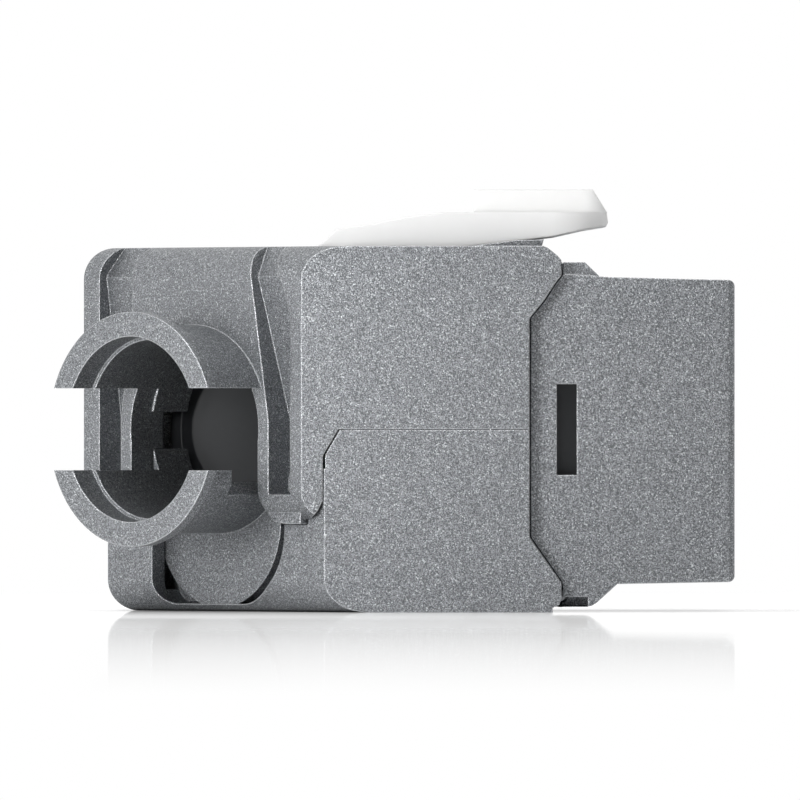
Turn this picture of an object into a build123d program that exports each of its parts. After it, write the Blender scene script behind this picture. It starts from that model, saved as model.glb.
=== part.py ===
from build123d import *
import math
import os

os.makedirs("parts", exist_ok=True)

# Body sizes, in millimetres. Distances along the body are counted back from the nose front.
body_length = 35.0
body_width = 16.0
body_height = 19.6
body_wall = 1.15
edge_radius = 1.7
front_x = body_length / 2
half_width = body_width / 2
axis_z = body_height / 2
root_two = math.sqrt(2)

# Gaps between pieces
seam_gap = 0.08
rest_gap = 0.03
skirt_gap = 0.06
seat_gap = 0.05
hinge_fit = 0.05
lug_gap = 0.1

# Nose sizes
nose_width = 14.7
nose_front_top = body_height - 1.82
nose_front_bottom = 1.63
flange_top = body_height - 0.86
flange_width = 14.4
flange_line_z = body_height - 1.5
foot_bottom = 0.29
neck_end = 13.0
neck_half_width = 6.75
neck_bottom = 1.25
neck_top = body_height - 2.45
seam_front = 10.91
seam_top_z = body_height - 3.85
seam_low_z = 4.04
ear_front = 9.2
side_slot_front = 8.45
side_slot_back = 9.52
side_slot_bottom = 7.35
side_slot_top = 12.22
side_slot_depth = 1.3

# Plug opening sizes
plug_width = 11.8
plug_height = 6.8
plug_bottom = 5.2
plug_depth = 11.0
notch_widths = (6.4, 3.9)
notch_depths = (1.5, 2.7)
carrier_pocket_half = 6.3
carrier_pocket_bottom = 2.2
carrier_pocket_top = 14.8
front_lip = 0.7

# Hinge of the upper shell
pivot_d = 10.1
pivot_z = body_height - 0.86
lug_radius = 0.6
pin_radius = 0.32
pin_chamfer = 0.08
lug_inner_y = 5.25
lug_outer_y = 6.65
ear_inner_y = 6.85
pin_inner_y = 5.25
pin_outer_y = 7.45

# Pin that holds the lower shell to the nose
low_pin_d = 9.3
low_pin_z = 0.86
low_pin_radius = 0.32
low_pin_half = 6.7
low_knuckle_radius = 0.6
low_knuckle_inner_y = 3.4
low_knuckle_outer_y = 5.2

# Cable tube: its axis crosses the slanted face at this point
tube_setback = 6.03
tube_d = body_length - tube_setback
tube_y = -2.21
tube_x = front_x - tube_d
tube_bore = 4.8
tube_outer = 5.6
tube_flat = 4.7
ring_outer = 6.3
ring_face = 4.78
ring_lip = 0.7
mouth_bore = 4.98
mouth_depth = 1.5
split_half = 2.2
inner_split_top = 0.95
inner_split_low = 1.03
inner_split_start = 1.5
tube_inner_end = 4.1

# Slanted wall of the upper shell
panel_thickness = 2.4
fork_half = 4.85
arch_radius = 4.9
skirt_bottom = 4.73
face_step = 0.87
groove_depth = 1.66
groove_top_depth = 0.55
groove_floor_z = 6.3
arm_limit = 7.7

# Lower shell
rear_step = 1.3
lower_rear = body_length - rear_step
lower_wall = 0.94
lower_floor = 1.15
window_left = -4.14
window_right = 6.0
window_bottom = 0.4
window_corner = 1.3
window_sweep = 3.9
backing_thickness = 0.6
lip_inner_y = 6.53
lip_outer_y = 6.77
lip_height = 0.8
tongue_face = 1.9
tongue_thickness = 0.9
tongue_radius = 4.68
tongue_centre_z = 4.87

# Latch and its channel
channel_half = 5.1
channel_floor = body_height - 1.2
channel_back = 22.6
latch_half = 4.8
latch_front = 6.71
latch_front_radius = 2.9
thumb_half = 3.6
thumb_corner = 1.2
latch_pivot_d = 20.9
latch_pivot_z = body_height - 0.6
latch_trunnion_radius = 0.45
latch_trunnion_reach = 5.7
rail_half = 6.1

# Inner pieces
contact_count = 8
contact_pitch = 1.02
contact_width = 0.34
contact_thickness = 0.26
contact_slot_gap = 0.12
contact_tail_z = 13.55
contact_row_step = 0.9
contact_bend = 0.3
board_front = 13.6
board_thickness = 1.0
board_half_width = 6.4
board_bottom = 2.2
board_top = body_height - 3.2
idc_front = 14.7
idc_back = 20.0
idc_half_width = 6.4
idc_bottom = 2.6
idc_top = body_height - 3.4
terminal_thickness = 0.5
terminal_width = 2.0
terminal_pitch = 2.9
terminal_slit = 0.32
terminal_slit_depth = 3.0
tail_half = 0.36
upper_tail_z = 11.2
lower_tail_z = 7.2
wire_slot_half = 0.45
manager_front = 20.1
manager_back = tube_d - 0.57
manager_wall = 1.2
collar_face = 4.3
collar_bore = 5.4
collar_outer = 6.2
collar_end = 5.6
spring_thickness = 0.2
spring_foot = (8.8, 9.6)
spring_bottom = 7.1
spring_top = 9.9
spring_reach = 6.05


def at(distance):
    """World x of a point this far behind the nose front."""
    return front_x - distance


def from_top(points):
    """Points given by how far they lie over the top of the body."""
    return [(place, body_height + rise) for place, rise in points]


def side_prism(points, y_from, y_to):
    """Prism across the body from (distance, z) points."""
    corners = [(at(d), y_from, z) for d, z in points]
    face = Face(Wire.make_polygon(corners, close=True))
    return Solid.extrude(face, Vector(0, y_to - y_from, 0))


def plan_prism(points, z_from, z_to):
    """Upright prism from (x, y) points."""
    corners = [(x, y, z_from) for x, y in points]
    face = Face(Wire.make_polygon(corners, close=True))
    return Solid.extrude(face, Vector(0, 0, z_to - z_from))


def block(d_front, d_back, y_from, y_to, z_from, z_to):
    """Box between two distances, two y values and two heights."""
    box = Box(d_back - d_front, y_to - y_from, z_to - z_from)
    middle = (at((d_front + d_back) / 2), (y_from + y_to) / 2, (z_from + z_to) / 2)
    return Pos(*middle) * box


def rod(d, z, radius, y_from, y_to):
    """Round bar across the body."""
    bar = Cylinder(radius, y_to - y_from)
    return Pos(at(d), (y_from + y_to) / 2, z) * (Rot(90, 0, 0) * bar)


def body_plan(d_front, d_back, half, corner):
    """Plan outline with the near rear corner cut along the slanted plane."""
    line = tube_x + tube_y + corner * root_two
    back_x = at(d_back)
    return [
        (at(d_front), -half),
        (at(d_front), half),
        (back_x, half),
        (back_x, line - back_x),
        (line + half, -half),
    ]


tube_frame = Plane(
    origin=(tube_x, tube_y, axis_z),
    x_dir=(1 / root_two, -1 / root_two, 0),
    z_dir=(-1 / root_two, -1 / root_two, 0),
)


def on_tube(shape):
    """Move a shape from tube coordinates (across, up, outward) to the body."""
    return tube_frame.location * shape


def tube_disc(radius, out_from, out_to):
    """Round bar along the tube axis."""
    disc = Cylinder(radius, out_to - out_from)
    return on_tube(Pos(0, 0, (out_from + out_to) / 2) * disc)


def tube_box(across_from, across_to, up_from, up_to, out_from, out_to):
    """Box in tube coordinates."""
    box = Box(across_to - across_from, up_to - up_from, out_to - out_from)
    middle = ((across_from + across_to) / 2, (up_from + up_to) / 2, (out_from + out_to) / 2)
    return on_tube(Pos(*middle) * box)


def tube_prism(points, out_from, out_to):
    """Prism along the tube axis from (across, height) points."""
    corners = [(across, z - axis_z, out_from) for across, z in points]
    face = Face(Wire.make_polygon(corners, close=True))
    return on_tube(Solid.extrude(face, Vector(0, 0, out_to - out_from)))


def one_solid(shape):
    """Largest solid of a shape, so that a piece is one solid."""
    solids = sorted(shape.solids(), key=lambda solid: solid.volume)
    return solids[-1]


def end_edges(shape, z, front_line):
    """Level edges at one height round the rear and the slanted wall."""
    found = []
    for edge in shape.edges():
        box = edge.bounding_box()
        level = abs(box.min.Z - z) < 1e-4 and abs(box.max.Z - z) < 1e-4
        lengthwise = box.max.Y - box.min.Y < 1e-4
        front = box.max.X > front_line - 1e-4 and not lengthwise and box.max.X - box.min.X < 1e-4
        if level and not lengthwise and not front:
            found.append(edge)
    return found


def tube_ramp(points):
    """Prism across the tube from (outward, height) points."""
    width = 20
    corners = [(-width / 2, z - axis_z, out) for out, z in points]
    face = Face(Wire.make_polygon(corners, close=True))
    return on_tube(Solid.extrude(face, Vector(width, 0, 0)))


def half_split_tube(upper):
    """One half of the split cable tube with its ring and inner half ring."""
    outer_face = ring_face
    sleeve = tube_disc(tube_outer, -tube_inner_end, outer_face)
    ring = tube_disc(ring_outer, outer_face - ring_lip, outer_face)
    bore = tube_disc(tube_bore, -tube_inner_end - 1, outer_face + 1)
    mouth = tube_disc(mouth_bore, outer_face - mouth_depth, outer_face + 1)
    reach = ring_outer + 1
    tube = sleeve + ring - bore - mouth
    step = -inner_split_start
    if upper:
        keep = tube_box(-reach, reach, split_half, reach, step, outer_face + 1)
        keep_inner = tube_box(-reach, reach, inner_split_top, reach, -tube_inner_end - 1, step)
        return tube & (keep + keep_inner)
    flats = tube_box(tube_flat, reach, -reach, reach, -tube_inner_end - 1, outer_face - ring_lip)
    flats += tube_box(-reach, -tube_flat, -reach, reach, -tube_inner_end - 1, outer_face - ring_lip)
    keep = tube_box(-reach, reach, -reach, -split_half, step, outer_face + 1)
    keep_inner = tube_box(-reach, 0, -reach, -inner_split_low, -tube_inner_end - 1, step)
    keep_inner += tube_box(-reach, reach, -reach, -split_half, -tube_inner_end - 1, step)
    return (tube - flats) & (keep + keep_inner)


def seam_points(offset):
    """Line between nose and shells, moved back by an offset."""
    return [
        (ear_front + offset, flange_line_z - 0.05),
        (9.57 + offset, flange_line_z - 0.53),
        (10.16 + offset, flange_line_z - 1.44),
        (seam_front + offset, seam_top_z),
        (seam_front + offset, seam_low_z),
        (ear_front + offset, 1.58),
    ]


def build_nose_housing():
    """Cast nose with the plug opening, the top flange, the foot and the neck."""
    half = nose_width / 2
    profile = [(0, nose_front_bottom), (0, nose_front_top), (6.68, nose_front_top + 0.16)]
    profile += [(8.9, flange_line_z)] + seam_points(0) + [(6.18, 1.52)]
    nose = side_prism(profile, -half, half)
    front_edges = nose.edges().filter_by_position(Axis.X, front_x - 0.001, front_x + 0.001)
    nose = fillet(front_edges, 0.35)
    flange = from_top([(6.9, -2.0), (7.22, -1.63), (8.02, -0.86), (9.15, -0.86)])
    flange += from_top([(ear_front, -1.3), (ear_front, -2.0)])
    nose += side_prism(flange, -flange_width / 2, flange_width / 2)
    foot = [(6.18, 1.7), (6.3, 1.5), (7.4, 0.5), (7.65, 0.35), (7.95, foot_bottom)]
    foot += [(ear_front, foot_bottom), (ear_front, 1.7)]
    nose += side_prism(foot, -half, half)
    nose += block(9.0, neck_end, -neck_half_width, neck_half_width, neck_bottom + 0.4, neck_top)
    for side in (-1, 1):
        near, far = sorted((side * lug_inner_y, side * lug_outer_y))
        lug = rod(pivot_d, pivot_z, lug_radius, near, far)
        web = from_top([(8.5, -2.4), (8.5, -0.9), (9.2, -0.9), (9.75, -0.45)])
        web += [(pivot_d, pivot_z + 0.3), (pivot_d + 0.55, pivot_z - 0.3), (pivot_d + 0.4, neck_top - 0.15)]
        nose += lug + side_prism(web, near, far)
        hole_far = side * (pin_outer_y + 0.2)
        low, high = sorted((side * (pin_inner_y - 0.2), hole_far))
        nose -= rod(pivot_d, pivot_z, pin_radius + hinge_fit, low, high)
        pocket_edge, outside = sorted((side * (half - 0.9), side * (half + 1)))
        recess = [(7.86, 0.83), (9.7, 0.83), (9.7, foot_bottom + 0.03), (7.86, foot_bottom + 0.03)]
        nose -= side_prism(recess, pocket_edge, outside)
        slot_low, slot_high = sorted((side * (half - side_slot_depth), side * (half + 1)))
        slot = block(side_slot_front, side_slot_back, slot_low, slot_high, side_slot_bottom, side_slot_top)
        nose -= slot
        low, high = sorted((side * (low_knuckle_inner_y - 0.1), side * (low_knuckle_outer_y + 0.1)))
        nose -= block(low_pin_d - 0.75, neck_end + 1, low, high, -1, low_pin_z + 0.75)
    nose -= rod(low_pin_d, low_pin_z, low_pin_radius + hinge_fit, -low_pin_half - 0.05, low_pin_half + 0.05)
    pocket = carrier_pocket_half
    nose -= block(front_lip, neck_end + 1, -pocket, pocket, carrier_pocket_bottom, carrier_pocket_top)
    plug_top = plug_bottom + plug_height
    nose -= block(-1, front_lip + 1, -plug_width / 2, plug_width / 2, plug_bottom, plug_top)
    for width, depth in zip(notch_widths, notch_depths):
        nose -= block(-1, front_lip + 1, -width / 2, width / 2, plug_bottom - depth, plug_bottom + 1)
    return one_solid(nose)


def build_upper_shell():
    """Upper shell with the latch channel, the fork and the upper half of the tube."""
    plan = body_plan(ear_front + seam_gap, body_length, half_width, 0)
    shell = plan_prism(plan, skirt_bottom, body_height)
    front_line = at(ear_front + seam_gap)
    rim = end_edges(shell, body_height, front_line) + end_edges(shell, skirt_bottom, front_line)
    shell = fillet(rim, edge_radius)
    lower_room = body_plan(0, lower_rear + skirt_gap, half_width + 1, face_step - skirt_gap)
    shell -= plan_prism(lower_room, 0, axis_z)
    corner = [(21.21, axis_z), (22.08, 8.32), (22.08, axis_z + 0.1), (21.21, axis_z + 0.1)]
    shell += side_prism(corner, -half_width, -half_width + body_wall)
    skirt_round = [(21.9, skirt_bottom - 0.1), (21.9, 6.15), (22.08, 5.9), (22.3, 5.45), (22.62, 5.08)]
    skirt_round += [(23.0, 4.86), (23.2, skirt_bottom - 0.1)]
    shell -= side_prism(skirt_round, -half_width - 0.1, -half_width + 1.4)
    ceiling = body_height - body_wall
    room = body_plan(0, body_length - body_wall, half_width - body_wall, panel_thickness)
    shell -= plan_prism(room, 0, ceiling)
    arms = tube_box(-arm_limit, arm_limit, skirt_bottom - axis_z, 0.2, -panel_thickness, -0.4)
    shell += arms
    bed_half = rail_half + 0.6
    shell += block(9.5, channel_back + 1, -bed_half, bed_half, channel_floor - body_wall, ceiling + 0.1)
    fork = tube_box(-fork_half, fork_half, -8, 0, -panel_thickness - 1, 1)
    shell -= fork + tube_disc(arch_radius, -panel_thickness - 1, 1)
    flare = [(4.8, 6.6), (4.85, 6.5), (4.94, 6.0), (5.18, 5.37), (5.71, 4.86), (6.64, 4.72)]
    flare += [(6.64, 4.0), (4.8, 4.0)]
    near_groove = [(5.66, groove_floor_z), (7.32, groove_floor_z)]
    near_groove += from_top([(7.32, -4.0), (6.94, -2.6), (6.03, -0.6), (5.7, 0.2)])
    near_groove += from_top([(4.0, 0.2), (4.1, -0.5), (4.25, -1.1)]) + [(5.66, 10.3)]
    rear_groove = [(-5.66, groove_floor_z), (-7.32, groove_floor_z)]
    rear_groove += from_top([(-7.32, -1.3), (-6.9, 0.2), (-4.7, 0.2), (-4.8, -3.4)]) + [(-5.66, 10.3)]
    ramp = [(0.5, groove_floor_z), (-groove_depth, groove_floor_z), (-groove_depth, 10.3)]
    ramp += from_top([(-groove_top_depth, -1.6), (-edge_radius, 0.2), (0.5, 0.2)])
    reach = tube_ramp(ramp)
    for groove in (near_groove, rear_groove):
        shell -= tube_prism(groove, -groove_depth - 1, 1) & reach
    for side in (-1, 1):
        shell -= tube_prism([(side * across, z) for across, z in flare], -panel_thickness - 1, 1)
        nub = [(7.4, 7.55), (7.18, 7.45), (7.05, 7.2), (7.05, 6.5), (7.4, groove_floor_z)]
        shell += tube_prism([(side * across, z) for across, z in nub], -groove_depth, -0.12)
    shell += half_split_tube(True)
    shell -= block(7.0, channel_back, -channel_half, channel_half, channel_floor, body_height + 1)
    rail = from_top([(10.2, 0.37), (11.77, 0.32), (12.57, 0.21), (13.9, 0.05), (14.75, -0.01)])
    rail += from_top([(14.75, -0.3), (10.7, -0.3), (10.35, -0.1)])
    for side in (-1, 1):
        low, high = sorted((side * channel_half, side * rail_half))
        shell += side_prism(rail, low, high)
        low, high = sorted((side * (channel_half - 0.2), side * (latch_trunnion_reach + 0.1)))
        shell -= rod(latch_pivot_d, latch_pivot_z, latch_trunnion_radius + hinge_fit, low, high)
    shell -= block(7.0, seam_front + seam_gap, -ear_inner_y, ear_inner_y, 0, channel_floor)
    shell -= block(7.0, seam_front + seam_gap, -channel_half - 0.01, channel_half + 0.01, neck_top - 0.15, body_height + 1)
    low_cut = [(7.0, body_height + 1), (7.0, 0)] + list(reversed(seam_points(seam_gap)))
    low_cut += from_top([(ear_front + seam_gap, -1.3), (9.32, -1.0), (9.2, -0.86), (9.2, 1)])
    shell -= side_prism(low_cut, -half_width - 1, half_width + 1)
    shoulder = from_top([(9.1, 0.7), (9.1, -0.83), (9.2, -0.83), (9.25, -0.8), (9.47, -0.53)])
    shoulder += from_top([(10.0, -0.1), (10.11, -0.05), (10.2, -0.02), (10.2, 0.7)])
    shell -= side_prism(shoulder, -half_width - 1, half_width + 1)
    for side in (-1, 1):
        low, high = sorted((side * lug_inner_y, side * ear_inner_y))
        lug_room = lug_radius + lug_gap
        shell -= rod(pivot_d, pivot_z, lug_room, low, high)
        web_room = [(7, neck_top - 1.1), (7, pivot_z + lug_room), (pivot_d, pivot_z + lug_room)]
        web_room += [(pivot_d + lug_room, pivot_z), (pivot_d + lug_room, neck_top - 1.1)]
        shell -= side_prism(web_room, low, high)
        low, high = sorted((side * pin_inner_y, side * (pin_outer_y + 0.05)))
        shell -= rod(pivot_d, pivot_z, pin_radius + hinge_fit, low, high)
    return one_solid(shell)


def build_lower_shell():
    """Lower shell with the window, the tongue and the lower half of the tube."""
    plan = body_plan(ear_front + seam_gap, lower_rear, half_width, face_step)
    shell = plan_prism(plan, 0, axis_z - seam_gap / 2)
    shell = fillet(end_edges(shell, 0, at(ear_front + seam_gap)), edge_radius)
    room = body_plan(0, lower_rear - body_wall, half_width - body_wall, face_step + lower_wall)
    shell -= plan_prism(room, lower_floor, body_height)
    front_cut = [(7.0, axis_z + 1), (7.0, -1), (9.75, -1), (9.75, 0.24), (9.4, 0.42)]
    front_cut += [(ear_front + seam_gap, 0.7)]
    front_cut += list(reversed(seam_points(seam_gap)[3:])) + [(seam_front + seam_gap, axis_z + 1)]
    shell -= side_prism(front_cut, -half_width - 1, half_width + 1)
    shell -= block(7.0, seam_front + seam_gap, -ear_inner_y, ear_inner_y, -1, body_height)
    front_floor = [(seam_front - 0.9, 0), (seam_front + 0.6, 0), (seam_front + 0.6, lower_floor)]
    front_floor += [(seam_front - 1.1, lower_floor), (seam_front - 1.1, 0.24)]
    shell += side_prism(front_floor, -half_width + 0.5, half_width - 0.5)
    corner = [(21.13, axis_z + 1), (21.13, axis_z - 0.03), (22.0, 8.25), (22.0, axis_z + 1)]
    shell -= side_prism(corner, -half_width - 1, -half_width + body_wall + 0.3)
    shell -= block(21.9, 24.5, -half_width - 0.1, -half_width + 1.6, 7.7, axis_z + 1)
    wall_top = skirt_bottom - rest_gap
    shell -= tube_box(-9.9, arm_limit + seam_gap, wall_top - axis_z, 1, -panel_thickness - 0.1, 1)
    window = Box(window_right - window_left, wall_top + 1 - window_bottom, tongue_thickness + 2.1)
    low_corners = window.edges().filter_by(Axis.Z).sort_by(Axis.Y)[:2].sort_by(Axis.X)
    window = fillet(low_corners[0], window_corner)
    low_corners = window.edges().filter_by(Axis.Z).sort_by(Axis.X)[-2:].sort_by(Axis.Y)
    window = fillet(low_corners[0], window_sweep)
    middle_out = -(tongue_face + tongue_thickness + 0.1) + (tongue_thickness + 2.1) / 2
    middle_up = (wall_top + 1 + window_bottom) / 2 - axis_z
    shell -= on_tube(Pos((window_left + window_right) / 2, middle_up, middle_out) * window)
    out_back = -tongue_face - tongue_thickness
    tongue_disc = Cylinder(tongue_radius, tongue_thickness)
    tongue = on_tube(Pos(0, tongue_centre_z - axis_z, (out_back - tongue_face) / 2) * tongue_disc)
    tongue += tube_box(-tongue_radius, tongue_radius, tongue_centre_z - axis_z, -3, out_back, -tongue_face)
    tongue -= tube_box(-9, 9, -12, window_bottom - axis_z - 0.15, out_back - 1, 0)
    backing_left = window_left - 0.4
    backing_right = window_right + 0.2
    backing_back = out_back - backing_thickness
    backing = tube_box(backing_left, backing_right, 0.5 - axis_z, wall_top - axis_z, backing_back, out_back)
    inside = plan_prism(body_plan(0, lower_rear - 0.5, half_width - 0.5, 0), 0, body_height)
    shell += tongue + (backing & inside)
    shell += tube_box(-2.6, 2.6, 0.6 - axis_z, -5, -tube_inner_end, out_back + 0.1)
    for side, lip_end in ((-1, tube_d - 7.97), (1, lower_rear - body_wall)):
        low, high = sorted((side * lip_inner_y, side * (half_width - body_wall + 0.05)))
        shell += block(neck_end + 0.1, lip_end, low, high, axis_z - 1.2, axis_z - 0.1)
        low, high = sorted((side * lip_inner_y, side * lip_outer_y))
        shell += block(neck_end + 0.1, lip_end, low, high, axis_z - 0.2, axis_z + lip_height)
    shell += half_split_tube(False)
    shell -= tube_disc(tube_bore, -tube_inner_end - 1, ring_face - mouth_depth)
    relief = [(4.6, 5.95), (4.25, 6.4), (3.5, 7.65), (2.6, 9.0), (6.4, 9.0), (6.4, 5.95)]
    shell -= tube_prism(relief, -tube_inner_end - 0.1, 1.8)
    for side in (-1, 1):
        low, high = sorted((side * low_knuckle_inner_y, side * low_knuckle_outer_y))
        knuckle = rod(low_pin_d, low_pin_z, low_knuckle_radius, low, high)
        web = [(low_pin_d, low_pin_z + 0.3), (low_pin_d, low_pin_z - 0.55)]
        web += [(seam_front + 0.4, 0.1), (seam_front + 0.4, lower_floor)]
        shell += knuckle + side_prism(web, low, high)
        shell -= rod(low_pin_d, low_pin_z, low_pin_radius + hinge_fit, low - 0.1, high + 0.1)
    return one_solid(shell)


def build_latch():
    """Moulded latch with its thumb block, root and trunnions."""
    profile = from_top([(22.3, 0.02), (21.34, 0.93), (19.36, 1.23), (17.43, 1.6), (15.56, 1.84)])
    profile += from_top([(6.8, 1.84), (6.72, 1.3), (6.84, 1.1), (8.07, 0.91), (9.63, 0.56)])
    profile += from_top([(10.96, 0.39), (14.7, -0.05), (18.0, -0.45), (20.1, -0.75), (20.9, -1.02)])
    profile += from_top([(21.6, -0.85), (22.3, -0.4)])
    plate = side_prism(profile, -latch_half, latch_half)
    low = body_height - 3
    high = body_height + 4
    outline = block(latch_front, channel_back + 2, -latch_half, latch_half, low, high)
    front_corners = outline.edges().filter_by(Axis.Z).sort_by(Axis.X)[-2:]
    outline = fillet(front_corners, latch_front_radius)
    plate = plate & outline
    thumb = from_top([(13.93, 1.4), (13.93, 3.07), (7.56, 3.07), (6.78, 1.84), (7.6, 1.4)])
    thumb_block = side_prism(thumb, -thumb_half, thumb_half)
    thumb_outline = block(latch_front, channel_back + 2, -thumb_half, thumb_half, low, high)
    thumb_corners = thumb_outline.edges().filter_by(Axis.Z).sort_by(Axis.X)[-2:]
    thumb_block = thumb_block & fillet(thumb_corners, thumb_corner)
    latch = plate + thumb_block
    reach = latch_trunnion_reach
    latch += rod(latch_pivot_d, latch_pivot_z, latch_trunnion_radius, -reach, reach)
    return one_solid(latch)


def contact_y(index):
    """Place of one contact across the plug opening."""
    return (index - (contact_count - 1) / 2) * contact_pitch


def contact_tail_height(index):
    """Height of one contact's tail: every second one is a row lower."""
    return contact_tail_z - contact_row_step * (index % 2)


def contact_path(index):
    """Bent line of one contact from its tail to its free end."""
    tail_z = contact_tail_height(index)
    y = contact_y(index)
    points = [(14.45, tail_z), (11.9, tail_z), (11.2, 13.35), (2.75, 13.35), (2.75, 12.5), (8.3, 9.75)]
    return FilletPolyline(*[(at(d), y, z) for d, z in points], radius=contact_bend)


def build_contact(index):
    """One sprung contact of the plug opening, bent from flat strip."""
    path = contact_path(index)
    start = Plane(path @ 0, x_dir=(0, 1, 0), z_dir=path % 0)
    section = start * Rectangle(contact_width, contact_thickness)
    return one_solid(sweep(section, path=path))


def build_contact_carrier():
    """Moulded carrier behind and above the plug space."""
    half = carrier_pocket_half - seat_gap
    top = carrier_pocket_top - seat_gap
    bottom = carrier_pocket_bottom + seat_gap
    carrier = block(front_lip + seat_gap, neck_end, -half, half, bottom, top)
    carrier = fillet(carrier.edges().filter_by(Axis.X), 0.3)
    plug_half = plug_width / 2
    carrier -= block(0, plug_depth, -plug_half, plug_half, plug_bottom, plug_bottom + plug_height)
    for width, depth in zip(notch_widths, notch_depths):
        carrier -= block(0, plug_depth - 0.6, -width / 2, width / 2, plug_bottom - depth, plug_bottom + 1)
    slot_half = contact_width / 2 + contact_slot_gap
    for index in range(contact_count):
        y = contact_y(index)
        carrier -= block(2.3, 11.5, y - slot_half, y + slot_half, plug_bottom + plug_height - 0.5, 13.65)
        carrier -= block(11.3, neck_end + 1, y - slot_half, y + slot_half, 12.35, 13.85)
    slot_low = spring_bottom + 0.2 - seat_gap
    slot_high = spring_top - 0.2 + seat_gap
    for side in (-1, 1):
        low, high = sorted((side * (plug_half - 0.1), side * (spring_reach + seat_gap)))
        carrier -= block(spring_foot[0] - seat_gap, spring_foot[1] + seat_gap, low, high, slot_low, slot_high)
    return one_solid(carrier)


def build_circuit_board():
    """Board that joins the contacts to the terminals."""
    board_back = board_front + board_thickness
    board = block(board_front, board_back, -board_half_width, board_half_width, board_bottom, board_top)
    board = fillet(board.edges().filter_by(Axis.X), 0.8)
    slit_y = contact_width / 2 + seat_gap
    slit_z = contact_thickness / 2 + seat_gap
    for index in range(contact_count):
        y = contact_y(index)
        z = contact_tail_height(index)
        board -= block(board_front - 1, board_back + 1, y - slit_y, y + slit_y, z - slit_z, z + slit_z)
    hole_half = tail_half + seat_gap
    for y, z, top in terminal_places():
        board -= block(board_front - 1, idc_front + 1, y - hole_half, y + hole_half, z - hole_half, z + hole_half)
    return one_solid(board)


def terminal_places():
    """Places of the wire terminals: across, height of the tail, and row."""
    places = []
    for top in (True, False):
        for index in range(4):
            y = (index - 1.5) * terminal_pitch
            places.append((y, upper_tail_z if top else lower_tail_z, top))
    return places


def build_idc_terminal(index):
    """Forked wire terminal with a tail in the board."""
    y, z, top = terminal_places()[index]
    d_mid = (idc_front + idc_back) / 2
    blade_front = d_mid - terminal_thickness / 2
    blade_back = d_mid + terminal_thickness / 2
    half = terminal_width / 2
    tip = idc_top - 0.4 if top else idc_bottom + 0.4
    up = 1 if top else -1
    low, high = sorted((z - up * tail_half, tip))
    blade = block(blade_front, blade_back, y - half, y + half, low, high)
    blade += block(board_front + 0.1, blade_back, y - tail_half, y + tail_half, z - tail_half, z + tail_half)
    slit = terminal_slit / 2
    slit_low, slit_high = sorted((tip + up * 0.01, tip - up * terminal_slit_depth))
    blade -= block(blade_front - 1, blade_back + 1, y - slit, y + slit, slit_low, slit_high)
    lead = [(y - 0.6, tip + up * 0.01), (y + 0.6, tip + up * 0.01)]
    lead += [(y + slit - 0.01, tip - up * 0.8), (y - slit + 0.01, tip - up * 0.8)]
    face = Face(Wire.make_polygon([(at(blade_back + 1), cy, cz) for cy, cz in lead], close=True))
    blade -= Solid.extrude(face, Vector(terminal_thickness + 2, 0, 0))
    return one_solid(blade)


def build_idc_block():
    """Moulded block that holds the wire terminals."""
    body = block(idc_front, idc_back, -idc_half_width, idc_half_width, idc_bottom, idc_top)
    body = fillet(body.edges().filter_by(Axis.X), 0.6)
    d_mid = (idc_front + idc_back) / 2
    gap = seat_gap
    for y, z, top in terminal_places():
        half = terminal_width / 2 + gap
        edge = idc_top + 1 if top else idc_bottom - 1
        inner = z - tail_half - gap if top else z + tail_half + gap
        low, high = sorted((edge, inner))
        thick = terminal_thickness / 2 + gap
        body -= block(d_mid - thick, d_mid + thick, y - half, y + half, low, high)
        tail = tail_half + gap
        body -= block(idc_front - 1, d_mid + thick, y - tail, y + tail, z - tail, z + tail)
        low, high = sorted((edge, idc_top - 3.2 if top else idc_bottom + 3.2))
        body -= block(idc_front + 1.0, idc_back + 1, y - wire_slot_half, y + wire_slot_half, low, high)
    body -= block(idc_front - 0.1, idc_front + 0.5, -4.4, 4.4, 12.2, 14.2)
    return one_solid(body)


def build_wire_manager():
    """Moulded wire guide with the slanted round collar behind the tube."""
    half = board_half_width
    behind_slant = plan_prism(body_plan(0, body_length * 2, body_length, collar_end), 0, body_height)
    guide = block(manager_front, manager_back, -half, half, idc_bottom + 0.4, idc_top) & behind_slant
    guide = fillet(guide.edges().filter_by(Axis.Z), 0.5)
    guide += tube_disc(collar_outer, -collar_end - 0.5, -collar_face)
    wall = manager_wall
    inside = half - wall
    hollow = block(manager_front + wall, manager_back - wall, -inside, inside, idc_bottom + 0.4 + wall, idc_top - wall)
    slant = plan_prism(body_plan(0, body_length * 2, body_length, collar_end + wall), 0, body_height)
    guide -= hollow & slant
    far_wall = block(manager_front - 5, manager_back + 5, inside, body_width, 0, body_height)
    guide -= tube_disc(collar_bore, -collar_end - 2.4, -collar_face + 1) - far_wall
    for y, z, top in terminal_places():
        low, high = sorted((idc_top - 3.0, idc_top + 1) if top else (idc_bottom + 3.4, idc_bottom - 1))
        guide -= block(manager_front - 1, manager_front + 2, y - wire_slot_half, y + wire_slot_half, low, high)
    return one_solid(guide)


def build_hinge_pin(side):
    """Short pin of the upper shell hinge on one side."""
    low, high = sorted((side * (pin_inner_y + 0.02), side * pin_outer_y))
    pin = rod(pivot_d, pivot_z, pin_radius, low, high)
    ends = pin.edges().filter_by(GeomType.CIRCLE)
    return one_solid(chamfer(ends, pin_chamfer))


def build_lower_pin():
    """Long pin that holds the lower shell to the foot of the nose."""
    pin = rod(low_pin_d, low_pin_z, low_pin_radius, -low_pin_half, low_pin_half)
    ends = pin.edges().filter_by(GeomType.CIRCLE)
    return one_solid(chamfer(ends, pin_chamfer))


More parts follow.
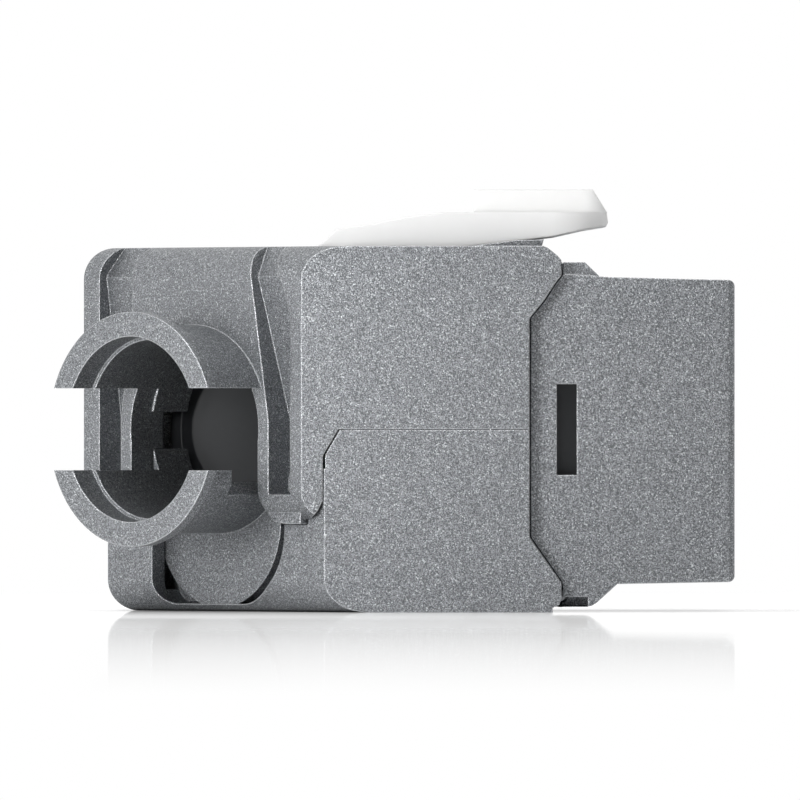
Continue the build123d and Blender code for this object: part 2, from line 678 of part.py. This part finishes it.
def build_ground_spring(side):
    """Thin sprung strip that touches the shield of the plug."""
    wall = plug_width / 2
    points = [(spring_foot[1], wall - 0.12), (6.2, wall - 0.12), (3.9, wall - 0.75)]
    points += [(2.2, wall - 0.14), (1.3, wall - 0.14)]
    outer = [(at(d), side * y) for d, y in points]
    inner = [(at(d), side * (y - spring_thickness)) for d, y in reversed(points)]
    strip = plan_prism(outer + inner, spring_bottom, spring_top)
    low, high = sorted((side * (wall - 0.32), side * spring_reach))
    foot = block(spring_foot[0], spring_foot[1], low, high, spring_bottom + 0.2, spring_top - 0.2)
    return one_solid(strip + foot)


pieces = {
    "nose_housing": build_nose_housing(),
    "upper_shell": build_upper_shell(),
    "lower_shell": build_lower_shell(),
    "latch": build_latch(),
    "contact_carrier": build_contact_carrier(),
    "circuit_board": build_circuit_board(),
    "idc_block": build_idc_block(),
    "wire_manager": build_wire_manager(),
    "upper_hinge_pin_left": build_hinge_pin(1),
    "upper_hinge_pin_right": build_hinge_pin(-1),
    "lower_hinge_pin": build_lower_pin(),
    "ground_spring_left": build_ground_spring(1),
    "ground_spring_right": build_ground_spring(-1),
}
for number in range(contact_count):
    pieces[f"contact_{number + 1}"] = build_contact(number)
    pieces[f"idc_terminal_{number + 1}"] = build_idc_terminal(number)

for node, piece in pieces.items():
    export_step(piece, f"parts/{node}.step")
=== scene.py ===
"""Keystone jack: looks of its cast shells, white latch and inner mouldings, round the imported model."""

import math

import bmesh
import bpy
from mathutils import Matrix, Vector

bl_info = {
    "name": "Keystone Jack",
    "version": (1, 0, 0),
    "blender": (4, 5, 0),
    "location": "View3D > Sidebar > Jack",
    "description": "Dresses a shielded keystone jack and sets its studio stage",
    "category": "Object",
}

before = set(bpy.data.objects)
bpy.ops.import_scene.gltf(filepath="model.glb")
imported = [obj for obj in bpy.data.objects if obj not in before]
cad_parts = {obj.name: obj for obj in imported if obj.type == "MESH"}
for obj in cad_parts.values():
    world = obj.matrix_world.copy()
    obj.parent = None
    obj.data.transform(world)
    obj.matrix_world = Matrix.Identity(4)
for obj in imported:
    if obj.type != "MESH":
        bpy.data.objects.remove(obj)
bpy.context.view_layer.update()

CAST_NODES = ("nose_housing", "upper_shell", "lower_shell")
MOULDED_NODES = ("contact_carrier", "idc_block", "wire_manager")
PIN_NODES = ("upper_hinge_pin_left", "upper_hinge_pin_right", "lower_hinge_pin")
SPRING_NODES = ("ground_spring_left", "ground_spring_right")
CONTACT_NODES = tuple(f"contact_{i}" for i in range(1, 9))
TERMINAL_NODES = tuple(f"idc_terminal_{i}" for i in range(1, 9))

# The studio brightens along this direction, from the dark end to the light end
STUDIO_AXIS = (-0.20, 0.98, 0.0)
STUDIO_DARK_END = -0.85
STUDIO_LIGHT_END = 0.25


def colour_property(name, description, default):
    """One colour with its name, description and default."""
    return bpy.props.FloatVectorProperty(
        name=name, description=description, default=default, subtype="COLOR", size=3, min=0.0, max=1.0
    )


def size_property(name, description, default):
    """One size in metres with its name, description and default."""
    return bpy.props.FloatProperty(
        name=name, description=description, default=default, subtype="DISTANCE", unit="LENGTH", precision=6
    )


def place_property(name, description, default):
    """One place in metres with its name, description and default."""
    return bpy.props.FloatVectorProperty(
        name=name,
        description=description,
        default=default,
        subtype="TRANSLATION",
        unit="LENGTH",
        size=3,
        precision=6,
    )


def share_property(name, description, default):
    """One plain number with its name, description and default."""
    return bpy.props.FloatProperty(name=name, description=description, default=default, min=0.0, max=2.0)


class JackFinish(bpy.types.PropertyGroup):
    """Colours and surface sizes of the jack."""

    cast_dark: colour_property(
        "Cast metal, dark", "Darker grain of the blasted casting", (0.128, 0.133, 0.141)
    )
    cast_light: colour_property(
        "Cast metal, light", "Lighter grain of the blasted casting", (0.338, 0.352, 0.368)
    )
    # Edge colour: bright edge wear plus a painted highlight where the edges catch the light.
    cast_edge_wear_and_highlight: colour_property("Cast metal, edge wear and highlight", "Bright metal along rubbed edges", (0.80, 0.82, 0.84))
    # Painted glint: bright colour on single grain facets, standing in for facets that catch the light.
    cast_painted_glint: colour_property(
        "Cast metal, painted glints", "Facets of the grain that catch the light", (0.60, 0.62, 0.64)
    )
    latch_white: colour_property("Latch", "White moulding of the latch", (0.84, 0.84, 0.835))
    moulding_black: colour_property(
        "Inner mouldings", "Dark moulding of the inner parts", (0.028, 0.030, 0.033)
    )
    board_green: colour_property("Board", "Solder mask of the circuit board", (0.03, 0.16, 0.07))
    contact_gold: colour_property("Contacts", "Plating of the contacts", (0.83, 0.62, 0.26))
    terminal_tin: colour_property("Terminals", "Plating of the wire terminals", (0.62, 0.62, 0.60))
    spring_bronze: colour_property("Springs", "Bare strip of the ground springs", (0.62, 0.45, 0.25))
    pin_steel: colour_property("Pins", "Bare steel of the hinge pins", (0.45, 0.46, 0.48))
    cast_metallic: share_property(
        "Cast metal, metallic", "Share of the casting that mirrors as metal", 0.86
    )
    dark_roughness: share_property("Dark grain, roughness", "Roughness of the darker grain", 0.48)
    light_roughness: share_property("Light grain, roughness", "Roughness of the lighter grain", 0.36)
    edge_roughness: share_property("Edges, roughness", "Roughness of the rubbed edges", 0.22)
    # Share of the edge colour in the base colour: edge wear plus painted highlight.
    edge_wear_and_highlight_share: share_property("Edges, strength", "How much of the edge colour shows", 0.5)
    grain_strength: share_property("Grain, strength", "Strength of the grain in the light", 0.9)
    latch_glow: share_property("Latch, glow", "Share of the light that passes into the latch", 0.2)
    grain_size: size_property("Grain", "Width of the grain of the blasted metal", 0.00006)
    # Width of the bright edge line: edge wear plus painted highlight.
    edge_width: size_property("Edge wear and highlight", "Width of the bright line along an edge", 0.00012)
    grain_depth: size_property("Grain depth", "Depth of the grain of the blasted metal", 0.00005)
    moulded_edge: size_property("Moulded edge", "Rounding of the edges of the mouldings", 0.00015)
    latch_glow_reach: size_property("Latch, glow reach", "How far light passes into the latch", 0.003)
    # Painted shade: the base colour turns dark in seams and corners within this distance.
    seam_shade_reach: size_property("Seam shade reach", "Distance over which a seam or corner turns dark", 0.00015)


class JackStage(bpy.types.PropertyGroup):
    """Camera, floor and lamps."""

    view_width: size_property("View width", "Width of the picture at the near side face", 0.04278)
    view_centre_x: size_property("View centre", "Place of the picture's centre along the body", -0.00041)
    view_height: size_property("Camera height", "Height of the camera over the floor", 0.00976)
    camera_distance: size_property(
        "Camera distance", "Distance from the near side face to the camera", 1.074
    )
    view_rise: share_property("View rise", "Upward shift of the picture, as a share of its width", 0.0375)
    floor_reach: size_property("Floor reach", "Half width of the floor", 6.0)
    floor_gloss: share_property("Floor gloss", "Strength of the mirror image in the floor", 0.7)
    floor_lift: share_property("Floor lift", "Light that the camera sees from the floor itself", 0.2)
    floor_fade: size_property("Floor fade", "Distance over which the mirror image fades", 0.35)
    near_side: size_property("Near side", "Place of the near side face across the body", -0.008)
    mirror_rear: size_property("Mirror rear", "Place behind the middle where the mirror image ends", 0.02)
    middle: place_property("Middle", "Point of the jack that the wide lamps face", (0.0, 0.0, 0.01))
    near_place: place_property("Near lamp, place", "Place of the near lamp", (-0.022, -0.038, 0.020))
    near_aim: place_property("Near lamp, aim", "Point that the near lamp faces", (-0.004, -0.006, 0.012))
    near_width: size_property("Near lamp, width", "Side of the near lamp", 0.010)
    edge_place: place_property("Edge lamp, place", "Place of the edge lamp", (-0.18, -0.18, 0.03))
    edge_width: size_property("Edge lamp, width", "Side of the edge lamp", 0.06)
    top_place: place_property("Top lamp, place", "Place of the top lamp", (-0.05, -0.18, 0.34))
    top_width: size_property("Top lamp, width", "Side of the top lamp", 0.30)
    floor_blend: size_property(
        "Floor blend", "Distance from the jack at which the floor turns plain white", 0.12
    )
    front_world: share_property("World, front", "Level of the studio behind the camera", 0.004)
    back_world: share_property("World, back", "Level of the studio behind the jack", 1.0)
    near_power: share_property("Near lamp", "Power of the small lamp at the tube side, in watts", 0.0058)
    edge_power: share_property(
        "Edge lamp", "Power of the lamp that lights the upright edges, in watts", 0.17
    )
    top_power: share_property("Top lamp", "Power of the wide lamp above, in watts", 0.76)


def new_material(name):
    """New node material, with its node tree and its surface shader."""
    material = bpy.data.materials.new(name)
    material.use_nodes = True
    tree = material.node_tree
    shader = tree.nodes["Principled BSDF"]
    return material, tree, shader


def add_node(tree, kind, **values):
    """Node of one kind with named attributes and input values set."""
    node = tree.nodes.new(kind)
    for key, value in values.items():
        if key in node.inputs:
            node.inputs[key].default_value = value
        else:
            setattr(node, key, value)
    return node


def grain_group():
    """Fine blasted grain: light and dark specks, single bright specks as painted glints, and a height."""
    group = bpy.data.node_groups.new("Blasted grain", "ShaderNodeTree")
    face = group.interface
    face.new_socket("Vector", in_out="INPUT", socket_type="NodeSocketVector")
    scale = face.new_socket("Scale", in_out="INPUT", socket_type="NodeSocketFloat")
    scale.default_value = 12000
    face.new_socket("Specks", in_out="OUTPUT", socket_type="NodeSocketFloat")
    face.new_socket("Painted glints", in_out="OUTPUT", socket_type="NodeSocketFloat")
    face.new_socket("Height", in_out="OUTPUT", socket_type="NodeSocketFloat")
    nodes, links = group.nodes, group.links
    start = nodes.new("NodeGroupInput")
    end = nodes.new("NodeGroupOutput")
    fine = nodes.new("ShaderNodeTexNoise")
    fine.inputs["Detail"].default_value = 1.0
    fine.inputs["Roughness"].default_value = 0.6
    spread = nodes.new("ShaderNodeMapRange")
    spread.inputs["From Min"].default_value = 0.40
    spread.inputs["From Max"].default_value = 0.62
    # Painted glints: the brightest Voronoi cells become single bright specks.
    facets = nodes.new("ShaderNodeTexVoronoi")
    facets.feature = "F1"
    pick = nodes.new("ShaderNodeSeparateColor")
    catch = nodes.new("ShaderNodeMapRange")
    catch.inputs["From Min"].default_value = 0.86
    catch.inputs["From Max"].default_value = 1.0
    links.new(start.outputs["Vector"], fine.inputs["Vector"])
    links.new(start.outputs["Vector"], facets.inputs["Vector"])
    links.new(start.outputs["Scale"], fine.inputs["Scale"])
    links.new(start.outputs["Scale"], facets.inputs["Scale"])
    links.new(fine.outputs["Fac"], spread.inputs["Value"])
    links.new(facets.outputs["Color"], pick.inputs["Color"])
    links.new(pick.outputs["Red"], catch.inputs["Value"])
    links.new(spread.outputs["Result"], end.inputs["Specks"])
    links.new(catch.outputs["Result"], end.inputs["Painted glints"])
    links.new(fine.outputs["Fac"], end.inputs["Height"])
    return group


def edge_group():
    """Mask that is bright along edges, from the turn of the rounded normal."""
    group = bpy.data.node_groups.new("Edge mask", "ShaderNodeTree")
    face = group.interface
    width = face.new_socket("Width", in_out="INPUT", socket_type="NodeSocketFloat")
    width.default_value = 0.00008
    face.new_socket("Edge", in_out="OUTPUT", socket_type="NodeSocketFloat")
    face.new_socket("Rounded", in_out="OUTPUT", socket_type="NodeSocketVector")
    nodes, links = group.nodes, group.links
    start = nodes.new("NodeGroupInput")
    end = nodes.new("NodeGroupOutput")
    bevel = nodes.new("ShaderNodeBevel")
    bevel.samples = 8
    geometry = nodes.new("ShaderNodeNewGeometry")
    dot = add_node(group, "ShaderNodeVectorMath", operation="DOT_PRODUCT")
    spread = nodes.new("ShaderNodeMapRange")
    spread.inputs["From Min"].default_value = 0.995
    spread.inputs["From Max"].default_value = 0.90
    links.new(start.outputs["Width"], bevel.inputs["Radius"])
    links.new(bevel.outputs["Normal"], dot.inputs[0])
    links.new(geometry.outputs["Normal"], dot.inputs[1])
    links.new(dot.outputs["Value"], spread.inputs["Value"])
    links.new(spread.outputs["Result"], end.inputs["Edge"])
    links.new(bevel.outputs["Normal"], end.inputs["Rounded"])
    return group


def seam_shade_group():
    """Painted shade: mask that is dark inside narrow seams and corners, from ambient occlusion."""
    group = bpy.data.node_groups.new("Painted seam shade", "ShaderNodeTree")
    face = group.interface
    reach = face.new_socket("Reach", in_out="INPUT", socket_type="NodeSocketFloat")
    reach.default_value = 0.0003
    face.new_socket("Open", in_out="OUTPUT", socket_type="NodeSocketFloat")
    nodes, links = group.nodes, group.links
    start = nodes.new("NodeGroupInput")
    end = nodes.new("NodeGroupOutput")
    cover = nodes.new("ShaderNodeAmbientOcclusion")
    cover.samples = 8
    spread = nodes.new("ShaderNodeMapRange")
    spread.inputs["From Min"].default_value = 0.2
    spread.inputs["From Max"].default_value = 0.7
    spread.inputs["To Min"].default_value = 0.15
    links.new(start.outputs["Reach"], cover.inputs["Distance"])
    links.new(cover.outputs["AO"], spread.inputs["Value"])
    links.new(spread.outputs["Result"], end.inputs["Open"])
    return group


def cast_metal(finish):
    """Blasted zinc alloy: speckled grey with painted glints, thin bright edges of wear and painted
    highlight, and painted shade in seams.
    """
    material, tree, shader = new_material("Blasted casting")
    links = tree.links
    place = tree.nodes.new("ShaderNodeTexCoord")
    grain = tree.nodes.new("ShaderNodeGroup")
    grain.node_tree = bpy.data.node_groups["Blasted grain"]
    grain.inputs["Scale"].default_value = 1.0 / finish.grain_size
    edge = tree.nodes.new("ShaderNodeGroup")
    edge.node_tree = bpy.data.node_groups["Edge mask"]
    edge.inputs["Width"].default_value = finish.edge_width
    ramp = tree.nodes.new("ShaderNodeMix")
    ramp.data_type = "RGBA"
    ramp.inputs["A"].default_value = (*finish.cast_dark, 1)
    ramp.inputs["B"].default_value = (*finish.cast_light, 1)
    # Painted glint: single grain cells take a bright colour, standing in for facets that catch the light.
    glinted = tree.nodes.new("ShaderNodeMix")
    glinted.data_type = "RGBA"
    glinted.inputs["B"].default_value = (*finish.cast_painted_glint, 1)
    # Painted highlight along edges, partly edge wear: the edge colour is mixed into the base colour.
    bright = tree.nodes.new("ShaderNodeMix")
    bright.data_type = "RGBA"
    bright.inputs["B"].default_value = (*finish.cast_edge_wear_and_highlight, 1)
    share = add_node(tree, "ShaderNodeMath", operation="MULTIPLY")
    share.inputs[1].default_value = finish.edge_wear_and_highlight_share
    bump = tree.nodes.new("ShaderNodeBump")
    bump.inputs["Strength"].default_value = finish.grain_strength
    bump.inputs["Distance"].default_value = finish.grain_depth
    rough = tree.nodes.new("ShaderNodeMapRange")
    rough.inputs["To Min"].default_value = finish.dark_roughness
    rough.inputs["To Max"].default_value = finish.light_roughness
    links.new(place.outputs["Object"], grain.inputs["Vector"])
    links.new(grain.outputs["Specks"], ramp.inputs["Factor"])
    links.new(ramp.outputs["Result"], glinted.inputs["A"])
    links.new(grain.outputs["Painted glints"], glinted.inputs["Factor"])
    links.new(glinted.outputs["Result"], bright.inputs["A"])
    links.new(edge.outputs["Edge"], share.inputs[0])
    links.new(share.outputs[0], bright.inputs["Factor"])
    # Painted shade in seams and corners: the base colour is scaled down by the occlusion mask.
    seam_shade = tree.nodes.new("ShaderNodeGroup")
    seam_shade.node_tree = bpy.data.node_groups["Painted seam shade"]
    seam_shade.inputs["Reach"].default_value = finish.seam_shade_reach
    shaded = add_node(tree, "ShaderNodeVectorMath", operation="SCALE")
    links.new(bright.outputs["Result"], shaded.inputs[0])
    links.new(seam_shade.outputs["Open"], shaded.inputs["Scale"])
    links.new(shaded.outputs["Vector"], shader.inputs["Base Color"])
    smooth = tree.nodes.new("ShaderNodeMix")
    smooth.inputs["B"].default_value = finish.edge_roughness
    links.new(grain.outputs["Specks"], rough.inputs["Value"])
    links.new(edge.outputs["Edge"], smooth.inputs["Factor"])
    links.new(rough.outputs["Result"], smooth.inputs["A"])
    links.new(smooth.outputs["Result"], shader.inputs["Roughness"])
    links.new(grain.outputs["Height"], bump.inputs["Height"])
    links.new(edge.outputs["Rounded"], bump.inputs["Normal"])
    links.new(bump.outputs["Normal"], shader.inputs["Normal"])
    shader.inputs["Metallic"].default_value = finish.cast_metallic
    return material


def moulded(name, colour, rounding, roughness, spread, scale, bump_height):
    """Moulded plastic: slight colour drift, fine texture and rounded edges."""
    material, tree, shader = new_material(name)
    links = tree.links
    place = tree.nodes.new("ShaderNodeTexCoord")
    noise = tree.nodes.new("ShaderNodeTexNoise")
    noise.inputs["Scale"].default_value = scale
    noise.inputs["Detail"].default_value = 3.0
    mix = tree.nodes.new("ShaderNodeMix")
    mix.data_type = "RGBA"
    mix.inputs["A"].default_value = (*[c * (1 - spread) for c in colour], 1)
    mix.inputs["B"].default_value = (*[min(1.0, c * (1 + spread)) for c in colour], 1)
    rough = tree.nodes.new("ShaderNodeMapRange")
    rough.inputs["To Min"].default_value = roughness - 0.06
    rough.inputs["To Max"].default_value = roughness + 0.06
    edge = tree.nodes.new("ShaderNodeGroup")
    edge.node_tree = bpy.data.node_groups["Edge mask"]
    edge.inputs["Width"].default_value = rounding
    bump = tree.nodes.new("ShaderNodeBump")
    bump.inputs["Strength"].default_value = 0.2
    bump.inputs["Distance"].default_value = bump_height
    links.new(place.outputs["Object"], noise.inputs["Vector"])
    links.new(noise.outputs["Fac"], mix.inputs["Factor"])
    links.new(mix.outputs["Result"], shader.inputs["Base Color"])
    links.new(noise.outputs["Fac"], rough.inputs["Value"])
    links.new(rough.outputs["Result"], shader.inputs["Roughness"])
    links.new(noise.outputs["Fac"], bump.inputs["Height"])
    links.new(edge.outputs["Rounded"], bump.inputs["Normal"])
    links.new(bump.outputs["Normal"], shader.inputs["Normal"])
    return material


def plated(name, colour, roughness):
    """Plated or bare sheet metal with faint drawing lines."""
    material, tree, shader = new_material(name)
    links = tree.links
    place = tree.nodes.new("ShaderNodeTexCoord")
    stretch = tree.nodes.new("ShaderNodeMapping")
    stretch.inputs["Scale"].default_value = (0.15, 1.0, 1.0)
    noise = tree.nodes.new("ShaderNodeTexNoise")
    noise.inputs["Scale"].default_value = 9000
    mix = tree.nodes.new("ShaderNodeMix")
    mix.data_type = "RGBA"
    mix.inputs["A"].default_value = (*[c * 0.82 for c in colour], 1)
    mix.inputs["B"].default_value = (*colour, 1)
    rough = tree.nodes.new("ShaderNodeMapRange")
    rough.inputs["To Min"].default_value = roughness
    rough.inputs["To Max"].default_value = roughness + 0.15
    links.new(place.outputs["Object"], stretch.inputs["Vector"])
    links.new(stretch.outputs["Vector"], noise.inputs["Vector"])
    links.new(noise.outputs["Fac"], mix.inputs["Factor"])
    links.new(mix.outputs["Result"], shader.inputs["Base Color"])
    links.new(noise.outputs["Fac"], rough.inputs["Value"])
    links.new(rough.outputs["Result"], shader.inputs["Roughness"])
    shader.inputs["Metallic"].default_value = 1.0
    return material


def dress(node, material):
    """Give a CAD node its material."""
    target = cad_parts[node]
    target.data.materials.clear()
    target.data.materials.append(material)
    return target


class JACK_OT_cast_shells(bpy.types.Operator):
    """Finish the nose and the two shells as blasted casting"""

    bl_idname = "jack.cast_shells"
    bl_label = "Cast nose and shells"

    def execute(self, context):
        grain_group()
        edge_group()
        seam_shade_group()
        material = cast_metal(context.scene.jack_finish)
        for node in CAST_NODES:
            dress(node, material)
        return {"FINISHED"}


class JACK_OT_latch(bpy.types.Operator):
    """Finish the white moulded latch"""

    bl_idname = "jack.latch"
    bl_label = "White latch"

    def execute(self, context):
        finish = context.scene.jack_finish
        rounding = finish.moulded_edge
        material = moulded(
            "White moulding",
            finish.latch_white,
            rounding,
            roughness=0.38,
            spread=0.02,
            scale=600,
            bump_height=0.00001,
        )
        surface = material.node_tree.nodes["Principled BSDF"]
        surface.inputs["Subsurface Weight"].default_value = finish.latch_glow
        surface.inputs["Subsurface Radius"].default_value = [finish.latch_glow_reach] * 3
        surface.inputs["Subsurface Scale"].default_value = 1.0
        dress("latch", material)
        return {"FINISHED"}


class JACK_OT_mouldings(bpy.types.Operator):
    """Finish the dark inner mouldings"""

    bl_idname = "jack.mouldings"
    bl_label = "Inner mouldings"

    def execute(self, context):
        finish = context.scene.jack_finish
        rounding = finish.moulded_edge
        material = moulded(
            "Dark moulding",
            finish.moulding_black,
            rounding,
            roughness=0.5,
            spread=0.12,
            scale=2500,
            bump_height=0.00002,
        )
        for node in MOULDED_NODES:
            dress(node, material)
        return {"FINISHED"}


class JACK_OT_board(bpy.types.Operator):
    """Finish the circuit board"""

    bl_idname = "jack.board"
    bl_label = "Circuit board"

    def execute(self, context):
        finish = context.scene.jack_finish
        rounding = finish.moulded_edge
        material = moulded(
            "Solder mask",
            finish.board_green,
            rounding,
            roughness=0.35,
            spread=0.25,
            scale=1800,
            bump_height=0.00002,
        )
        dress("circuit_board", material)
        return {"FINISHED"}


class JACK_OT_metal_fittings(bpy.types.Operator):
    """Finish contacts, terminals, ground springs and pins"""

    bl_idname = "jack.metal_fittings"
    bl_label = "Contacts, terminals and pins"

    def execute(self, context):
        finish = context.scene.jack_finish
        gold = plated("Gold plating", finish.contact_gold, roughness=0.22)
        tin = plated("Tin plating", finish.terminal_tin, roughness=0.35)
        bronze = plated("Bare bronze", finish.spring_bronze, roughness=0.3)
        steel = plated("Pin steel", finish.pin_steel, roughness=0.3)
        for node in CONTACT_NODES:
            dress(node, gold)
        for node in TERMINAL_NODES:
            dress(node, tin)
        for node in SPRING_NODES:
            dress(node, bronze)
        for node in PIN_NODES:
            dress(node, steel)
        return {"FINISHED"}


def floor_material(stage):
    """White floor that keeps shadows near the jack and mirrors it towards the camera."""
    material, tree, shader = new_material("Studio floor")
    links = tree.links
    shader.inputs["Base Color"].default_value = (0.93, 0.93, 0.93, 1)
    shader.inputs["Roughness"].default_value = 0.9
    shader.inputs["Specular IOR Level"].default_value = 0.0
    lift = tree.nodes.new("ShaderNodeEmission")
    plain = tree.nodes.new("ShaderNodeEmission")
    rays = tree.nodes.new("ShaderNodeLightPath")
    seen = add_node(tree, "ShaderNodeMath", operation="MULTIPLY")
    seen.inputs[1].default_value = stage.floor_lift
    links.new(rays.outputs["Is Camera Ray"], seen.inputs[0])
    links.new(seen.outputs[0], lift.inputs["Strength"])
    near_floor = tree.nodes.new("ShaderNodeAddShader")
    links.new(shader.outputs[0], near_floor.inputs[0])
    links.new(lift.outputs[0], near_floor.inputs[1])

    place = tree.nodes.new("ShaderNodeTexCoord")
    reach = add_node(tree, "ShaderNodeVectorMath", operation="LENGTH")
    away = tree.nodes.new("ShaderNodeMapRange")
    away.inputs["From Min"].default_value = stage.floor_blend / 4
    away.inputs["From Max"].default_value = stage.floor_blend
    camera_away = add_node(tree, "ShaderNodeMath", operation="MULTIPLY")
    ground = tree.nodes.new("ShaderNodeMixShader")
    links.new(place.outputs["Object"], reach.inputs[0])
    links.new(reach.outputs["Value"], away.inputs["Value"])
    links.new(away.outputs["Result"], camera_away.inputs[0])
    links.new(rays.outputs["Is Camera Ray"], camera_away.inputs[1])
    links.new(camera_away.outputs[0], ground.inputs["Fac"])
    links.new(near_floor.outputs[0], ground.inputs[1])
    links.new(plain.outputs[0], ground.inputs[2])

    mirror = tree.nodes.new("ShaderNodeBsdfGlossy")
    mirror.inputs["Color"].default_value = (1, 1, 1, 1)
    mirror.inputs["Roughness"].default_value = 0.03
    split = tree.nodes.new("ShaderNodeSeparateXYZ")
    fade = tree.nodes.new("ShaderNodeMapRange")
    fade.inputs["From Min"].default_value = -stage.floor_fade
    fade.inputs["From Max"].default_value = stage.near_side
    curve = add_node(tree, "ShaderNodeMath", operation="POWER")
    curve.inputs[1].default_value = 1.5
    front = tree.nodes.new("ShaderNodeMapRange")
    front.inputs["From Min"].default_value = stage.mirror_rear
    front.inputs["From Max"].default_value = 0.0
    grazing = tree.nodes.new("ShaderNodeLayerWeight")
    sharper = add_node(tree, "ShaderNodeMath", operation="POWER")
    sharper.inputs[1].default_value = 8.0
    gloss = add_node(tree, "ShaderNodeMath", operation="MULTIPLY")
    gloss.inputs[1].default_value = stage.floor_gloss
    near_share = add_node(tree, "ShaderNodeMath", operation="MULTIPLY")
    share = add_node(tree, "ShaderNodeMath", operation="MULTIPLY")
    mix = tree.nodes.new("ShaderNodeMixShader")
    links.new(place.outputs["Object"], split.inputs[0])
    links.new(split.outputs["Y"], fade.inputs["Value"])
    links.new(split.outputs["Y"], front.inputs["Value"])
    links.new(grazing.outputs["Facing"], sharper.inputs[0])
    links.new(fade.outputs["Result"], curve.inputs[0])
    links.new(curve.outputs[0], gloss.inputs[0])
    links.new(gloss.outputs[0], near_share.inputs[0])
    links.new(front.outputs[0], near_share.inputs[1])
    links.new(near_share.outputs[0], share.inputs[0])
    links.new(sharper.outputs[0], share.inputs[1])
    links.new(share.outputs[0], mix.inputs["Fac"])
    links.new(ground.outputs[0], mix.inputs[1])
    links.new(mirror.outputs[0], mix.inputs[2])
    links.new(mix.outputs[0], tree.nodes["Material Output"].inputs["Surface"])
    return material


def add_lamp(name, place, target, size, power):
    """Soft square lamp aimed at a point."""
    data = bpy.data.lights.new(name, "AREA")
    data.shape = "SQUARE"
    data.size = size
    data.energy = power
    lamp = bpy.data.objects.new(name, data)
    bpy.context.scene.collection.objects.link(lamp)
    lamp.location = place
    lamp.rotation_euler = (Vector(target) - Vector(place)).to_track_quat("-Z", "Y").to_euler()


class JACK_OT_stage(bpy.types.Operator):
    """Set the camera, the pale floor, the lamps and the white background"""

    bl_idname = "jack.stage"
    bl_label = "Camera, floor and lamps"

    def execute(self, context):
        scene = context.scene
        stage = scene.jack_stage
        scene.view_settings.view_transform = "Standard"
        data = bpy.data.cameras.new("Jack camera")
        data.sensor_width = 36.0
        data.lens = data.sensor_width * stage.camera_distance / stage.view_width
        data.shift_y = stage.view_rise
        data.clip_start = 0.01
        data.clip_end = 20.0
        camera = bpy.data.objects.new("Jack camera", data)
        scene.collection.objects.link(camera)
        camera.location = (stage.view_centre_x, stage.near_side - stage.camera_distance, stage.view_height)
        camera.rotation_euler = (math.radians(90), 0, 0)
        scene.camera = camera

        mesh = bpy.data.meshes.new("Studio_floor")
        build = bmesh.new()
        reach = stage.floor_reach
        signs = ((-1, -1), (1, -1), (1, 1), (-1, 1))
        build.faces.new([build.verts.new((x * reach, y * reach, 0.0)) for x, y in signs])
        build.to_mesh(mesh)
        build.free()
        floor = bpy.data.objects.new("Studio_floor", mesh)
        scene.collection.objects.link(floor)
        mesh.materials.append(floor_material(stage))

        world = bpy.data.worlds.new("Studio")
        scene.world = world
        world.use_nodes = True
        tree = world.node_tree
        back = tree.nodes["Background"]
        back.inputs["Color"].default_value = (1, 1, 1, 1)
        rays = tree.nodes.new("ShaderNodeLightPath")
        direct = add_node(tree, "ShaderNodeMath", operation="MAXIMUM")
        around = tree.nodes.new("ShaderNodeTexCoord")
        along = add_node(tree, "ShaderNodeVectorMath", operation="DOT_PRODUCT")
        along.inputs[1].default_value = STUDIO_AXIS
        studio = tree.nodes.new("ShaderNodeMapRange")
        studio.interpolation_type = "SMOOTHSTEP"
        studio.inputs["From Min"].default_value = STUDIO_DARK_END
        studio.inputs["From Max"].default_value = STUDIO_LIGHT_END
        studio.inputs["To Min"].default_value = stage.front_world
        studio.inputs["To Max"].default_value = stage.back_world
        strength = add_node(tree, "ShaderNodeMath", operation="MAXIMUM")
        tree.links.new(rays.outputs["Is Camera Ray"], direct.inputs[0])
        tree.links.new(rays.outputs["Is Transmission Ray"], direct.inputs[1])
        tree.links.new(around.outputs["Generated"], along.inputs[0])
        tree.links.new(along.outputs["Value"], studio.inputs["Value"])
        tree.links.new(direct.outputs[0], strength.inputs[0])
        tree.links.new(studio.outputs["Result"], strength.inputs[1])
        tree.links.new(strength.outputs[0], back.inputs["Strength"])

        add_lamp("Near", stage.near_place, stage.near_aim, stage.near_width, stage.near_power)
        add_lamp("Edge", stage.edge_place, stage.middle, stage.edge_width, stage.edge_power)
        add_lamp("Top", stage.top_place, stage.middle, stage.top_width, stage.top_power)
        return {"FINISHED"}


class JACK_PT_panel(bpy.types.Panel):
    """Sizes, colours and steps of the jack"""

    bl_idname = "JACK_PT_panel"
    bl_label = "Keystone jack"
    bl_space_type = "VIEW_3D"
    bl_region_type = "UI"
    bl_category = "Jack"

    def draw(self, context):
        layout = self.layout
        for group in (context.scene.jack_finish, context.scene.jack_stage):
            column = layout.column()
            for name in group.__annotations__:
                column.prop(group, name)
        for operator in PIECE_OPERATORS:
            layout.operator(operator.bl_idname)


PIECE_OPERATORS = (
    JACK_OT_cast_shells,
    JACK_OT_latch,
    JACK_OT_mouldings,
    JACK_OT_board,
    JACK_OT_metal_fittings,
    JACK_OT_stage,
)
CLASSES = (JackFinish, JackStage, *PIECE_OPERATORS, JACK_PT_panel)


def register():
    for item in CLASSES:
        bpy.utils.register_class(item)
    bpy.types.Scene.jack_finish = bpy.props.PointerProperty(type=JackFinish)
    bpy.types.Scene.jack_stage = bpy.props.PointerProperty(type=JackStage)


def unregister():
    del bpy.types.Scene.jack_stage
    del bpy.types.Scene.jack_finish
    for item in reversed(CLASSES):
        bpy.utils.unregister_class(item)


def main():
    """Register the add-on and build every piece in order."""
    register()
    bpy.ops.jack.cast_shells()
    bpy.ops.jack.latch()
    bpy.ops.jack.mouldings()
    bpy.ops.jack.board()
    bpy.ops.jack.metal_fittings()
    bpy.ops.jack.stage()


if __name__ == "__main__":
    main()
